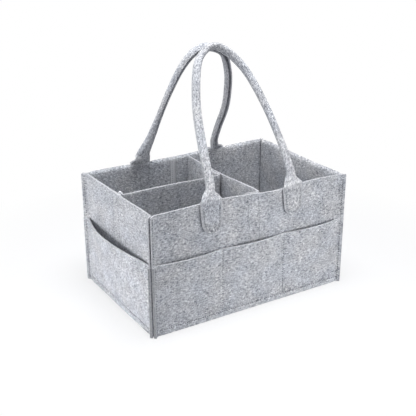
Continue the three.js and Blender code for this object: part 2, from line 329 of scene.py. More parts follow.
def cut_sheet(name, across, up, place, pressed=None, dropped=None, thickness=FELT,
              finishes=None):
    """A piece cut from a flat sheet and bent to its place. place(u, v) is in millimetres,
    pressed(u, v) is the share of the thickness there, and dropped(u, v) cuts away a cell."""
    shape = bmesh.new()
    bmesh.ops.create_grid(shape, x_segments=len(across) - 1, y_segments=len(up) - 1, size=0.5)
    cut = shape.loops.layers.uv.new("cut")
    grip = shape.verts.layers.deform.verify()
    flat = {}
    for vertex in shape.verts:
        u = across[round((vertex.co.x + 0.5) * (len(across) - 1))]
        v = up[round((vertex.co.y + 0.5) * (len(up) - 1))]
        flat[vertex] = Vector((u, v))
        vertex[grip][0] = pressed(u, v) if pressed else 1
    shift = PATTERN_STEP * len(pieces_cut)
    for face in shape.faces:
        for loop in face.loops:
            loop[cut].uv = flat[loop.vert] * MM + shift
        face.smooth = True
    if dropped:
        gone = []
        for face in shape.faces:
            middle = sum((flat[vertex] for vertex in face.verts), Vector((0, 0))) / len(face.verts)
            if dropped(*middle):
                gone.append(face)
        bmesh.ops.delete(shape, geom=gone, context="FACES")
    for vertex in shape.verts:
        vertex.co = place(*flat[vertex]) * MM
    piece = into_scene(name, shape, finishes or (felt, felt_edge_with_painted_shade))
    piece.vertex_groups.new(name="thickness")
    thick = piece.modifiers.new("thickness", "SOLIDIFY")
    thick.thickness = thickness * MM
    thick.offset = 0
    thick.vertex_group = "thickness"
    thick.use_even_offset = True
    thick.material_offset_rim = 1
    worn = piece.modifiers.new("cut edges", "BEVEL")
    worn.width = min(EDGE_WEAR, thickness / 4) * MM
    worn.segments = 2
    worn.limit_method = "ANGLE"
    worn.angle_limit = WORN_ANGLE
    pieces_cut.append(piece)
    return piece


CREASE = 0.6  # half the gap that is left inside the seam, where the walls turn out
EDGES_APART = 0.9  # half the gap between the raw edges of two walls beyond their seam


def side_corners(half_run, half_depth, layer):
    """The middle line of a panel on one side, which lies along X with its outside towards -Y.
    Layer 0 is the wall, and layer 1 is the pocket outside it."""
    from_diagonal = (layer + 0.5) * PITCH * PRESSED
    depth = half_depth - FELT / 2 + layer * PITCH
    corner = depth + half_run - half_depth - math.sqrt(2) * (from_diagonal + CREASE)
    spread_out = (from_diagonal + EDGES_APART) / math.sqrt(2)
    edge_x = half_run + CORNER_MARGIN - spread_out
    edge_depth = half_depth + CORNER_MARGIN + spread_out
    return [(-edge_x, -edge_depth), (-corner, -depth), (corner, -depth), (edge_x, -edge_depth)]


SIDES = {
    "front": (0, HALF_LENGTH, HALF_WIDTH),
    "right_end": (1, HALF_WIDTH, HALF_LENGTH),
    "back": (2, HALF_LENGTH, HALF_WIDTH),
    "left_end": (3, HALF_WIDTH, HALF_LENGTH),
}
SEAM_INSET = 4.6  # from a raw edge to its line of stitches
BEND = 3


def turned(side, point):
    """A place on the front side, turned to the same place on another side."""
    return Matrix.Rotation(SIDES[side][0] * math.pi / 2, 3, "Z") @ point


BOTTOM_SEAM = 7.5


def pressed_at(total, furrows=()):
    """The thickness of a side's panel: pressed down along its seams."""

    def share(u, v):
        in_corner_seam = min(u, total - u) < SEAM_INSET + SAME_ROW
        in_bottom_seam = abs(v - BOTTOM_SEAM) < SAME_ROW
        in_furrow = any(abs(u - furrow) < SAME_ROW for furrow in furrows)
        return PRESSED if in_corner_seam or in_bottom_seam or in_furrow else 1
    return share


FAN = 1.8  # how far the raw bottom edges stand out below their seam
FAN_START = 5  # from a panel's end
FAN_EASE = 15
CURL = 3.6  # of the free rims of the back wall and the right wall, outwards
CURL_REACH = 4.5  # down from the rim
CURL_START = 6  # from a panel's end
CURL_EASE = 10
CURL_ROWS = 4
HELD_REACH = 19  # of the rim that a tab holds straight, to either side of its middle
HELD_EDGE = 6  # the greater, the more sharply that stretch ends


def fanned(height, from_end):
    """How far a bottom edge stands out, at a height and at a distance from the panel's end."""
    return FAN * max(1 - height / BOTTOM_SEAM, 0) * smooth((from_end - FAN_START) / FAN_EASE)


def curled(side, x, height, from_end):
    """How far a rim curls out. At the tabs the back wall is held straight."""
    if side not in ("right_end", "back"):
        return 0
    held = math.exp(-((abs(x) - TAB_X) / HELD_REACH) ** HELD_EDGE) if side == "back" else 0
    share = max((height - HEIGHT) / CURL_REACH + 1, 0)
    return CURL * share * share * (1 - held) * smooth((from_end - CURL_START) / CURL_EASE)


curl_rows = [HEIGHT - CURL_REACH * i / CURL_ROWS for i in range(1, CURL_ROWS + 1)]
for side, (_, half_run, half_depth) in SIDES.items():
    line = rounded(side_corners(half_run, half_depth, 0), BEND)
    distances = walked(line)
    total = distances[-1]

    def stand(u, v):
        flat = on_line(line, distances, u)
        from_end = min(u, total - u)
        out = fanned(v, from_end) / 2 + curled(side, flat.x, v, from_end)
        point = turned(side, Vector((flat.x, flat.y - out, v)))
        return point + slack(point)

    panel = cut_sheet(
        side + "_wall_felt",
        spread(0, total, distances, [SEAM_INSET, total - SEAM_INSET]),
        spread(0, HEIGHT, curl_rows, [BOTTOM_SEAM]),
        stand,
        pressed_at(total),
    )
    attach(panel, "basket")
    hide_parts(side + "_wall")


# Floor
# A felt rectangle between the walls. Its margin is turned down all round and sewn into the bottom
# seam, and the corners are notched out so that the margin lies flat.
FLOOR_X = HALF_LENGTH - FELT - GAP - FELT / 2
FLOOR_Y = HALF_WIDTH - FELT - GAP - FELT / 2
FLOOR_Z = BOTTOM_MARGIN + FELT / 2
FLOOR_BEND = 1.8
LEVEL = 10  # of the floor that the line over the fold starts with
margin_line = rounded([(-LEVEL, 0), (0, 0), (0, -FLOOR_Z)], FLOOR_BEND)
margin_walk = walked(margin_line)


def fold_down(distance, half):
    """Where a distance from the middle ends up across the fold: how far out, and how high."""
    over = abs(distance) - half + LEVEL
    if over < LEVEL - FLOOR_BEND:
        return distance, 0
    place = on_line(margin_line, margin_walk, over)
    return math.copysign(half + place.x, distance), place.y


def lay_floor(u, v):
    x, drop_x = fold_down(u, FLOOR_X)
    y, drop_y = fold_down(v, FLOOR_Y)
    point = Vector((x, y, FLOOR_Z + min(drop_x, drop_y)))
    return point + slack(point)


def floor_rows(half):
    """Rows of the mesh over the level floor, and on over the fold and down on either side."""
    level = half - FLOOR_BEND
    folded = [half - LEVEL + walk for walk in margin_walk[1:]]
    rows = [-row for row in folded] + spread(-level, level) + folded
    return sorted({round(row, 4) for row in rows})


floor_panel = cut_sheet(
    "floor_felt",
    floor_rows(FLOOR_X),
    floor_rows(FLOOR_Y),
    lay_floor,
    dropped=lambda u, v: abs(u) > FLOOR_X - FLOOR_BEND and abs(v) > FLOOR_Y - FLOOR_BEND,
)
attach(floor_panel, "basket")
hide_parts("floor_panel")


# Outer pockets
# One felt strip on each side, sewn down at the corners and along the bottom. The long ones are
# also sewn to the wall in two upright lines, and the mouths bow open between the seams.
BAYS = 3
FRONT_GAPE = 5.2
END_GAPE = 13.6
END_PEAK = 18
FRONT_STANDOFF = 0.9  # of the whole mouth, up to its seams
END_STANDOFF = 1.6
ROUNDNESS = 1.2
SWELL = 1.25
FRONT_HOLD = 12  # the greater, the closer to its seams a mouth still stands off
END_HOLD = 10


def front_bow(x, corner):
    """How far the mouth of a long pocket panel bows out, in a bay between its seams."""
    turn = math.pi * (max(-corner, min(x, corner)) / corner + 1) / 2 * BAYS
    return FRONT_GAPE * abs(math.sin(turn)) ** ROUNDNESS \
        + FRONT_STANDOFF * (1 - math.cos(turn) ** FRONT_HOLD)


def end_bow(x, corner, peak):
    """How far the mouth of an end pocket bows out, most of all at its peak."""
    reach = corner + peak if x < peak else corner - peak
    share = min(abs(x - peak) / reach, 1)
    return END_GAPE * abs(math.cos(math.pi / 2 * share)) ** ROUNDNESS \
        + END_STANDOFF * (1 - share ** END_HOLD)


for side, (_, half_run, half_depth) in SIDES.items():
    corners = side_corners(half_run, half_depth, 1)
    line = rounded(corners, BEND)
    distances = walked(line)
    total = distances[-1]
    corner = corners[2][0]
    long_side = side in ("front", "back")
    bay = 2 * corner / BAYS
    bay_seams = [total / 2 - bay / 2, total / 2 + bay / 2] if long_side else []
    peak = -END_PEAK if side == "left_end" else END_PEAK

    def hang(u, v):
        flat = on_line(line, distances, u)
        bow = front_bow(flat.x, corner) if long_side else end_bow(flat.x, corner, peak)
        lean = (max(v - BOTTOM_MARGIN, 0) / (POCKET_HEIGHT - BOTTOM_MARGIN)) ** SWELL
        out = bow * lean + fanned(v, min(u, total - u))
        point = turned(side, Vector((flat.x, flat.y - out, v)))
        return point + slack(point)

    panel = cut_sheet(
        side + "_pocket_felt",
        spread(0, total, distances, [SEAM_INSET, total - SEAM_INSET, *bay_seams]),
        spread(0, POCKET_HEIGHT, (), [BOTTOM_SEAM]),
        hang,
        pressed_at(total, bay_seams),
    )
    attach(panel, "basket")
    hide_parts(side + "_pocket")


# Seams of the basket
# Grey polyester thread, one lockstitch about every 4 mm: through the corner margins, along the
# bottom and up the two lines between the pockets. Each stitch sinks into the felt at both ends.
STITCH = 2.2
STITCH_PITCH = 3.7
THREAD = 1.35  # thicker than real thread, so that it shows
PROUD = 0.1  # of the middle of a stitch above the felt
SIGHT = 0.5  # to either side of a stitch, where the seam's direction there is taken
SEAM_END = 2  # from the end of a seam to the edge of the felt
BAY_FOOT = 9


def sewing_thread(name, dark, pale):
    """Spun polyester thread with a faint gloss from its twist. Its grey is painted deeper than the
    felt's, as painted shade for the small pit that each stitch lies in."""
    material, tree = new_material(name)
    place = add(tree, "TexCoord").outputs["Object"]
    twist = add(tree, "TexNoise", {"Vector": place, "Scale": 1 / (0.6 * MM), "Detail": 1})
    ramp = add(tree, "ValToRGB", {"Fac": twist},
               stops=[(0.35, linear(dark)), (0.65, linear(pale))])
    surface = add(tree, "BsdfPrincipled", {
        "Base Color": ramp, "Roughness": 0.6, "Specular IOR Level": 0.3, "Sheen Weight": 0.1,
    })
    add(tree, "OutputMaterial", {"Surface": surface})
    return material


# Painted shade: both are the same grey thread, darkened in colour for the shade of the needle
# pits, deeply for the basket's seams and lightly for the tabs and tapes.
thread = sewing_thread("polyester_thread_deeply_darkened_by_painted_pit_shade", "#30333a", "#4d5058")
lightly_pit_shaded_thread = sewing_thread("polyester_thread_lightly_darkened_by_painted_pit_shade", "#7b7e85", "#9fa2a8")


def sew(name, body, runs, finish=thread, side="front"):
    """Rows of stitches. Each run is a line of places on the felt and the way that it faces, both
    given as on the front side."""
    shape = bmesh.new()
    bmesh.ops.create_uvsphere(shape, u_segments=6, v_segments=5, radius=0.5 * MM)
    for face in shape.faces:
        face.smooth = True
    stitch = bpy.data.meshes.new("stitch")
    shape.to_mesh(stitch)
    shape.clear()
    for line, facing in runs:
        line = [turned(side, Vector(point)) for point in line]
        facing = turned(side, Vector(facing)).normalized()
        distances = walked(line)
        total = distances[-1]
        count = max(1, round(total / STITCH_PITCH))
        for i in range(count):
            middle = total * (i + 0.5) / count
            point = on_line(line, distances, middle)
            ahead = on_line(line, distances, min(middle + SIGHT, total))
            behind = on_line(line, distances, max(middle - SIGHT, 0))
            along = (ahead - behind).normalized()
            aside = facing.cross(along)
            frame_of_stitch = Matrix((along, aside, facing)).transposed().to_4x4()
            placed = stitch.copy()
            placed.transform(
                Matrix.Translation((point + slack(point)) * MM) @ frame_of_stitch
                @ Matrix.Diagonal((STITCH, THREAD, THREAD, 1))
            )
            shape.from_mesh(placed)
            bpy.data.meshes.remove(placed)
    bpy.data.meshes.remove(stitch)
    piece = into_scene(name, shape, [finish])
    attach(piece, body)


for side, (_, half_run, half_depth) in SIDES.items():
    runs = []
    for layer, low, high in ((0, POCKET_HEIGHT, HEIGHT), (1, 0, POCKET_HEIGHT)):
        corners = side_corners(half_run, half_depth, layer)
        for end, inner in ((corners[0], corners[1]), (corners[3], corners[2])):
            end, inner = Vector(end), Vector(inner)
            inwards = (inner - end).normalized()
            sideways = math.copysign(1, -end.x)
            facing = Vector((sideways, -1, 0)).normalized()
            foot = end + inwards * SEAM_INSET + facing.xy * (FELT / 2 * PRESSED + PROUD)
            runs.append(([(*foot, low + SEAM_END), (*foot, high - SEAM_END)], facing))
    corners = side_corners(half_run, half_depth, 1)
    corner, y = corners[2]
    face = y - FELT / 2 * PRESSED - PROUD
    low, high = BAY_FOOT, POCKET_HEIGHT - SEAM_END
    lines = [[(x, face, BOTTOM_SEAM) for x in (-corner + SEAM_END, corner - SEAM_END)]]
    if side in ("front", "back"):
        lines += [[(x, face, low), (x, face, high)] for x in (-corner / BAYS, corner / BAYS)]
    runs += [(line, (0, -1, 0)) for line in lines]
    sew(side + "_seams", "basket", runs, side=side)


# Handles
# Each handle is one strip of felt. Its two ends are flat tabs, sewn to the outside of a long wall,
# and between them it is rolled lengthwise to an oval with an open seam, and bent to an arch.
TAB_WIDTH = 33.5
TAB_DROP = 44.5
TAB_RISE = 1.5
TAB_TAPER = 0.08  # of its width, from the rim down to its round end
# From the tab's fold up to the neck, at the right and left foot of the front handle, and at the
# left and right foot of the back one.
FLARES = {"front": (17.5, 17.5), "back": (17, 7.5)}
# At the same feet the strip is rolled less tightly just above the neck: how much wider it lies,
# how far its open face is turned on towards the hollow of the arch, and how far up that reaches.
LOOSE = {
    "front": ((0.3, 0, 60), (0.04, 0, 60)),
    "back": ((1.5, math.radians(34), 95), (0, 0, 60)),
}
GRIP_WIDTH = 14.5
GRIP_THICKNESS = 10
ARCH = 220
HANDLE_GAP = 0.6
ROLL_PACE = 1.35  # above 1 the strip closes the faster, the nearer it is to the neck
BACK_SHARE = 0.5  # of the strip's width, bent round the back of the channel
LIP_SHARE = 0.75  # how far the channel's sides reach up towards its open face
LIP_LEAN = 0.12  # of the sides towards each other
# The channel's open face looks inwards, turned so far towards the hollow of the arch, at the one
# foot and at the other, and it turns over on this stretch of the arch.
OPEN_TURNS = (math.radians(30), math.radians(-14))
TURN_START = 0.35
TURN_LENGTH = 0.3
FOLD_EASE = 4  # above the fold, until the strip has left the wall's plane
STRAY_FADE = 40  # above the rim, until the strip no longer strays with the wall
ACROSS = 12  # cells of the mesh, in half of the strip's width
TAB_ROWS = 14
FLARE_ROWS = 14
STRAP_ROWS = 130
SEWN_SHARE = 7 / ACROSS  # of the strip's half width, out to the stitches
LAST_ROW_SHARE = (TAB_ROWS - 1) / TAB_ROWS  # of the tab's length, down to the stitches at its end
SEWN_FROM = 0.1  # of the tab's length, where its side seams begin
ROUND_FROM = 0.3  # of the tab's length, where its end begins to round
LIFT_LENGTH = 0.25  # of the tab's length, down to where its free rim has lifted fully
TAB_LIFT = 1.7  # of the free rim beyond the stitches
LIP_THINNING = 0.3  # of the felt, out to the two edges of the roll
FRONT_ARCH_SHARES = [
    (1, 0), (1.05, 0.09), (1.03, 0.17), (0.99, 0.31), (0.83, 0.57), (0.56, 0.82), (0.2, 0.965),
    (-0.12, 1), (-0.45, 0.93), (-0.64, 0.8), (-0.8, 0.6), (-0.875, 0.38), (-0.9, 0.22),
    (-0.925, 0.09), (-1, 0),
]
BACK_ARCH_SHARES = [
    (1, 0), (0.88, 0.1), (0.86, 0.25), (0.885, 0.42), (0.81, 0.58), (0.65, 0.76), (0.36, 0.925),
    (-0.07, 0.99), (-0.38, 0.95), (-0.58, 0.83), (-0.73, 0.63), (-0.852, 0.37), (-0.9, 0.25),
    (-0.985, 0.11), (-1, 0),
]
ARCH_STEPS = 16  # between two points of an arch
FOLD_DEPTH = HALF_WIDTH + PITCH
FOLD_HEIGHT = HEIGHT + TAB_RISE
LEAN_ROUNDS = 40  # of reckoning, far more than the lean needs to settle


def arch_line(shares):
    """The strip's middle line in the plane of its handle, close enough together to be smooth."""
    knots = [Vector((x * TAB_X, z * ARCH)) for x, z in shares]
    knots = [knots[0], *knots, knots[-1]]
    line = []
    for before, start, end, after in zip(knots, knots[1:], knots[2:], knots[3:]):
        pull_in, pull_out = (end - before) / 2, (after - start) / 2
        for step in range(ARCH_STEPS):
            t = step / ARCH_STEPS
            line.append(
                start + pull_in * t
                + (end * 3 - start * 3 - pull_in * 2 - pull_out) * t ** 2
                + (start * 2 - end * 2 + pull_in + pull_out) * t ** 3
            )
    return line + [knots[-1]]


def lean_of(shares):
    """How far a handle leans in, so that the two all but touch over the middle."""
    peak = ARCH * max(z for _, z in shares)
    lean = 0
    for _ in range(LEAN_ROUNDS):
        inner = GRIP_THICKNESS / 2 * math.cos(lean) + math.hypot(
            GRIP_WIDTH / 2 * math.cos(lean), GRIP_THICKNESS / 2 * math.sin(lean))
        lean = math.asin((FOLD_DEPTH - inner - HANDLE_GAP / 2) / peak)
    return lean


def rolled(share):
    """How far the strip has closed to a roll at a share of its way from the tab to the neck."""
    return min(max(share, 0), 1) ** ROLL_PACE


def channel(c, turn):
    """A point of the rolled strip's middle line, in an oval of the grip's size. Its open face
    is turned from the oval's inner side."""
    back = Vector((math.sin(turn), math.cos(turn)))
    side = Vector((back.y, -back.x))
    half = Vector(((GRIP_WIDTH - FELT) / 2, (GRIP_THICKNESS - FELT) / 2))
    deep = (back * half).length
    wide = (side * half).length
    if abs(c) < BACK_SHARE:
        angle = c / BACK_SHARE * math.pi / 2
        return back * deep * math.cos(angle) + side * wide * math.sin(angle)
    share = (abs(c) - BACK_SHARE) / (1 - BACK_SHARE)
    across = math.copysign(wide * (1 - LIP_LEAN * share * share), c)
    return side * across - back * deep * LIP_SHARE * share


def settle(piece):
    """Makes a piece's modifiers part of its mesh."""
    shown = piece.evaluated_get(bpy.context.evaluated_depsgraph_get())
    mesh = bpy.data.meshes.new_from_object(shown)
    piece.modifiers.clear()
    piece.data = mesh


def handle(side, shares):
    """A whole strip, from the round end of one tab over the arch to the end of the other."""
    lean = lean_of(shares)
    arch = arch_line(shares)
    distances = walked(arch)
    length = distances[-1]
    tab = TAB_DROP + TAB_RISE
    radius = TAB_WIDTH / 2
    up = Vector((0, math.sin(lean), math.cos(lean)))
    inwards = Vector((0, math.cos(lean), -math.sin(lean)))
    fold = Vector((0, -FOLD_DEPTH, FOLD_HEIGHT))

    def strip(u, c):
        # c runs across the strip from -1 to 1, and u along it from the right tab's fold.
        foot = 0 if u < length / 2 else 1
        sign = 1 - 2 * foot
        from_fold = min(u, length - u)
        roll = rolled(from_fold / FLARES[side][foot])
        arc = math.sin(c * math.pi / 2) * (1 - roll) + c * roll
        if from_fold <= 0:
            share = -from_fold / tab
            x = sign * (TAB_X + arc * radius * (1 - TAB_TAPER * share))
            round_end = radius - radius * math.sqrt(max(1 - arc * arc, 0))
            rounding = smooth((share - ROUND_FROM) / (1 - ROUND_FROM))
            z = FOLD_HEIGHT - share * (tab - round_end * rounding)
            beyond = max(
                (abs(c) - SEWN_SHARE) / (1 - SEWN_SHARE),
                (share - LAST_ROW_SHARE) / (1 - LAST_ROW_SHARE),
                0,
            )
            lift = TAB_LIFT * beyond * beyond * smooth(share / LIFT_LENGTH)
            return Vector((x, -FOLD_DEPTH + FELT / 2 - lift, z))
        middle = on_line(arch, distances, u)
        step = on_line(arch, distances, min(u + 1, length)) \
            - on_line(arch, distances, max(u - 1, 0))
        along = Vector((0, sign)).lerp(step.normalized(), roll).normalized()
        outwards = Vector((along.y, -along.x))
        flat = Vector((arc * radius, 0))
        turn = math.pi * from_fold / length * roll
        change = smooth((u / length - TURN_START) / TURN_LENGTH)
        wider, turned_on, reach = LOOSE[side][foot]
        near_foot = math.exp(-(from_fold / reach) ** 2)
        open_turn = OPEN_TURNS[0] * (1 - change) + OPEN_TURNS[1] * change + turned_on * near_foot
        closed = channel(c, (open_turn - turn) * roll)
        closed.x *= 1 + wider * near_foot
        section = flat.lerp(closed, roll)
        thickness = FELT + (GRIP_THICKNESS - FELT) * roll
        out = section.x * math.cos(turn) + section.y * math.sin(turn)
        deep = thickness / 2 + section.x * math.sin(turn) - section.y * math.cos(turn)
        across = middle + outwards * out
        leaned = Vector((across.x, 0, 0)) + fold + up * across.y + inwards * deep
        straight = Vector((across.x, -FOLD_DEPTH + FELT / 2, FOLD_HEIGHT + from_fold))
        return straight.lerp(leaned, smooth(from_fold / FOLD_EASE))

    def lay(u, v):
        point = strip(u, v / radius)
        if side == "back":
            point = Vector((-point.x, -point.y, point.z))
        return point + slack(point) * (1 - smooth((point.z - HEIGHT) / STRAY_FADE))

    def pressed(u, v):
        c = abs(v) / radius
        share = -min(u, length - u) / tab
        on_sides = abs(c - SEWN_SHARE) < SAME_ROW and \
            SEWN_FROM < share < LAST_ROW_SHARE + SAME_ROW
        on_end = abs(share - LAST_ROW_SHARE) < SAME_ROW and c < SEWN_SHARE
        if on_sides or on_end:
            return PRESSED
        return 1 - LIP_THINNING * max(2 * c - 1, 0) * smooth(-share * 2)

    tab_rows = [-tab + tab * i / TAB_ROWS for i in range(TAB_ROWS)]
    first, last = FLARES[side]
    strap = length - first - last
    rows = tab_rows + [first * i / FLARE_ROWS for i in range(FLARE_ROWS + 1)]
    rows += [first + strap * i / STRAP_ROWS for i in range(1, STRAP_ROWS)]
    rows += [length - last * i / FLARE_ROWS for i in range(FLARE_ROWS, -1, -1)]
    rows += [length - row for row in reversed(tab_rows)]
    columns = [radius * i / ACROSS for i in range(-ACROSS, ACROSS + 1)]
    piece = cut_sheet(side + "_handle_felt", rows, columns, lay, pressed)
    settle(piece)
    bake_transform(piece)
    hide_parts(side + "_handle_strap", side + "_left_tab", side + "_right_tab")


handle("front", FRONT_ARCH_SHARES)
handle("back", [(-x, z) for x, z in reversed(BACK_ARCH_SHARES)])


# Seams of the tabs
# Each tab is sewn on along its edge, in a line that turns round its lower end, and once across
# just under the rim. The stitches show again inside the basket.
TAB_INSET = 3.6
TAB_TOP_SEAM = 5
ROUND_STEPS = 12
for side in ("front", "back"):
    runs = []
    for x in (-TAB_X, TAB_X):
        for depth, facing in ((FOLD_DEPTH + PROUD, -1), (HALF_WIDTH - FELT - PROUD, 1)):
            half = TAB_WIDTH / 2 - TAB_INSET
            narrow = half * (1 - TAB_TAPER)
            low = HEIGHT - TAB_DROP + TAB_WIDTH / 2
            top = HEIGHT - TAB_TOP_SEAM
            edge = [(x - half, -depth, top)]
            for i in range(ROUND_STEPS + 1):
                angle = math.pi * (1 + i / ROUND_STEPS)
                edge.append((x + narrow * math.cos(angle), -depth, low + half * math.sin(angle)))
            edge.append((x + half, -depth, top))
            crossing = [(x - half + SEAM_END, -depth, top), (x + half - SEAM_END, -depth, top)]
            runs += [(edge, (0, facing, 0)), (crossing, (0, facing, 0))]
    sew(side + "_tab_seams", "basket", runs, lightly_pit_shaded_thread, side)


# Fastening tape on the walls
# Three strips of woven nylon loop tape are sewn inside the walls where the dividers' flaps hold.
# Their two lines of stitches show on the outside of the walls as well.
TAPE_WIDTH = 24
TAPE_END = 0.8
LOOP = 1.2
HOOK = 1
FOOT = BOTTOM_MARGIN + FELT + GAP  # of what stands on the floor
TAPE_INSET = 2.8
TAPE_PRESSED = 0.7
TAPE_SEAM_END = 4  # from the end of a seam to the foot and the rim
OUTER_SEAM_FOOT = 3  # above the mouths of the pockets
OUTER_PROUD = 0.05


def loop_pile():
    """Brushed nylon loop tape: a pale fluffy pile of fine loops, dull and slightly uneven."""
    material, tree = new_material("brushed_nylon_loop")
    cut = add(tree, "TexCoord").outputs["UV"]
    # The loops are drawn about twice their real size.
    loops = add(tree, "TexNoise", {
        "Vector": cut, "Scale": 1 / (1.6 * MM), "Detail": 4, "Roughness": 0.7,
    })
    ramp = add(tree, "ValToRGB", {"Fac": loops},
               stops=[(0.32, linear("#c6c8cc")), (0.66, linear("#ecedee"))])
    relief = add(tree, "Bump", {"Height": loops, "Strength": 0.7, "Distance": 0.5 * MM})
    surface = add(tree, "BsdfPrincipled", {
        "Base Color": ramp,
        "Roughness": 0.85,
        "Specular IOR Level": 0.25,
        "Sheen Weight": 0.3,
        "Normal": relief,
    })
    add(tree, "OutputMaterial", {"Surface": surface})
    return material


def hook_rows():
    """Moulded nylon hook tape: rows of small stiff hooks on a slightly glossy pale base."""
    material, tree = new_material("moulded_nylon_hook")
    cut = add(tree, "TexCoord").outputs["UV"]
    hooks = add(tree, "TexVoronoi", {"Vector": cut, "Scale": 1 / (1.7 * MM), "Randomness": 0.15})
    ramp = add(tree, "ValToRGB", {"Fac": hooks},
               stops=[(0.15, linear("#f0f1f2")), (0.6, linear("#c2c4c9"))])
    relief = add(tree, "Bump", {"Height": hooks, "Strength": 0.9, "Distance": 0.6 * MM},
                 invert=True)
    surface = add(tree, "BsdfPrincipled", {
        "Base Color": ramp, "Roughness": 0.45, "Specular IOR Level": 0.45, "Normal": relief,
    })
    add(tree, "OutputMaterial", {"Surface": surface})
    return material


loop_tape = (LOOP, loop_pile(), "loop_tape")
hook_tape = (HOOK, hook_rows(), "hook_tape")


def tape(name, body, start, end, kind, top=lambda u: HEIGHT):
    """A strip of tape on edge between two places seen from above, cut just below the rim. Its kind
    is its thickness, its material and its slot, and the slot is not used."""
    start, end = Vector(start), Vector(end)
    thickness, finish, slot = kind
    low, high = FOOT + TAPE_END, HEIGHT - TAPE_END
    width = (end - start).length
    furrows = [TAPE_INSET, width - TAPE_INSET] if width > 4 * TAPE_INSET else []

    def stand(u, v):
        flat = start.lerp(end, u / width)
        height = low + (v - low) * (top(u) - TAPE_END - low) / (high - low)
        point = Vector((flat.x, flat.y, height))
        return point + slack(point)

    piece = cut_sheet(
        name, spread(0, width, (), furrows), spread(low, high), stand,
        lambda u, v: TAPE_PRESSED if any(abs(u - f) < SAME_ROW for f in furrows) else 1,
        thickness=thickness,
        finishes=(finish, finish),
    )
    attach(piece, body)
    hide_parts(name[:-len("_strip")])


FRONT_TAPE_X = 0.8
BACK_TAPE_X = -5
LEFT_TAPE_Y = 3
CROSS_TAPE_Y = 6
half_tape = TAPE_WIDTH / 2
tape_y = HALF_WIDTH - FELT - GAP - LOOP / 2
tape_x = -(HALF_LENGTH - FELT - GAP - LOOP / 2)
tape("front_wall_loop_tape_strip", "basket", (FRONT_TAPE_X - half_tape, -tape_y),
     (FRONT_TAPE_X + half_tape, -tape_y), loop_tape)
tape("back_wall_loop_tape_strip", "basket", (BACK_TAPE_X + half_tape, tape_y),
     (BACK_TAPE_X - half_tape, tape_y), loop_tape)
tape("left_wall_loop_tape_strip", "basket", (tape_x, LEFT_TAPE_Y + half_tape),
     (tape_x, LEFT_TAPE_Y - half_tape), loop_tape)
runs = []
inside = (FOOT + TAPE_SEAM_END, HEIGHT - TAPE_SEAM_END)
outside = (POCKET_HEIGHT + OUTER_SEAM_FOOT, HEIGHT - TAPE_SEAM_END)
for sign in (-1, 1):
    x = FRONT_TAPE_X + sign * (half_tape - TAPE_INSET)
    runs.append(([(x, -tape_y + LOOP / 2, z) for z in inside], (0, 1, 0)))
    runs.append(([(x, -HALF_WIDTH - OUTER_PROUD, z) for z in outside], (0, -1, 0)))
    x = BACK_TAPE_X + sign * (half_tape - TAPE_INSET)
    runs.append(([(x, tape_y - LOOP / 2, z) for z in inside], (0, -1, 0)))
    runs.append(([(x, HALF_WIDTH + OUTER_PROUD, z) for z in outside], (0, 1, 0)))
    y = LEFT_TAPE_Y + sign * (half_tape - TAPE_INSET)
    runs.append(([(tape_x + LOOP / 2, y, z) for z in inside], (1, 0, 0)))
    runs.append(([(-HALF_LENGTH - OUTER_PROUD, y, z) for z in outside], (-1, 0, 0)))
sew("wall_tape_seams", "basket", runs, lightly_pit_shaded_thread)


# Cross divider
# A felt panel from the front wall to the back wall. Its two ends are folded towards the left as
# flaps, with hook tape on their outer faces, and its left face carries a strip of loop tape.
STACK = GAP + LOOP + GAP + HOOK + GAP  # of the tapes between a wall and a flap
CROSS_END = HALF_WIDTH - FELT - STACK - FELT / 2
FLAP_BEND = 2.2
SHORT_BEND = FLAP_BEND - 0.01  # of a flap that starts at its bend, so that the two lie apart
CROSS_FLAP = 22
HOOK_MARGIN = 1  # of felt beside the hook tape
FOLD_CLEARANCE = 1.5  # of a flap's inner stitches from the divider when it is folded to it
INNER_SUNK = 0.5
HOOK_SUNK = 0.2
flap_tip = CROSS_X - FELT / 2 - GAP - CROSS_FLAP


def standing_felt(name, corners, bend, top=lambda u: HEIGHT):
    """A felt panel on edge along a line with round bends, from the foot up to its top."""
    line = rounded(corners, bend)
    distances = walked(line)

    def stand(u, v):
        flat = on_line(line, distances, u)
        height = FOOT + (v - FOOT) * (top(u) - FOOT) / (HEIGHT - FOOT)
        point = Vector((flat.x, flat.y, height))
        return point + slack(point)

    return cut_sheet(name, spread(0, distances[-1], distances), spread(FOOT, HEIGHT), stand)


panel = standing_felt(
    "cross_divider_felt",
    [(CROSS_X, -CROSS_END + FLAP_BEND), (CROSS_X, CROSS_END), (flap_tip, CROSS_END)],
    FLAP_BEND,
)
settle(panel)
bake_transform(panel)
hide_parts("cross_divider_panel", "cross_divider_back_flap")

flap = standing_felt(
    "cross_divider_front_flap_felt",
    [(CROSS_X, -CROSS_END + FLAP_BEND), (CROSS_X, -CROSS_END), (flap_tip, -CROSS_END)],
    SHORT_BEND,
)
settle(flap)
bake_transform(flap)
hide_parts("cross_divider_front_flap")

hook_low = flap_tip + HOOK_MARGIN
hook_high = CROSS_X - FELT / 2 - GAP - HOOK_MARGIN
hook_y = CROSS_END + FELT / 2 + GAP + HOOK / 2
tape("front_flap_hook_tape_strip", "cross_front_flap", (hook_low, -hook_y),
     (hook_high, -hook_y), hook_tape)
tape("back_flap_hook_tape_strip", "cross_back_flap", (hook_high, hook_y),
     (hook_low, hook_y), hook_tape)
cross_tape_x = CROSS_X - FELT / 2 - GAP - LOOP / 2
tape("cross_divider_loop_tape_strip", "cross_divider", (cross_tape_x, CROSS_TAPE_Y + half_tape),
     (cross_tape_x, CROSS_TAPE_Y - half_tape), loop_tape)

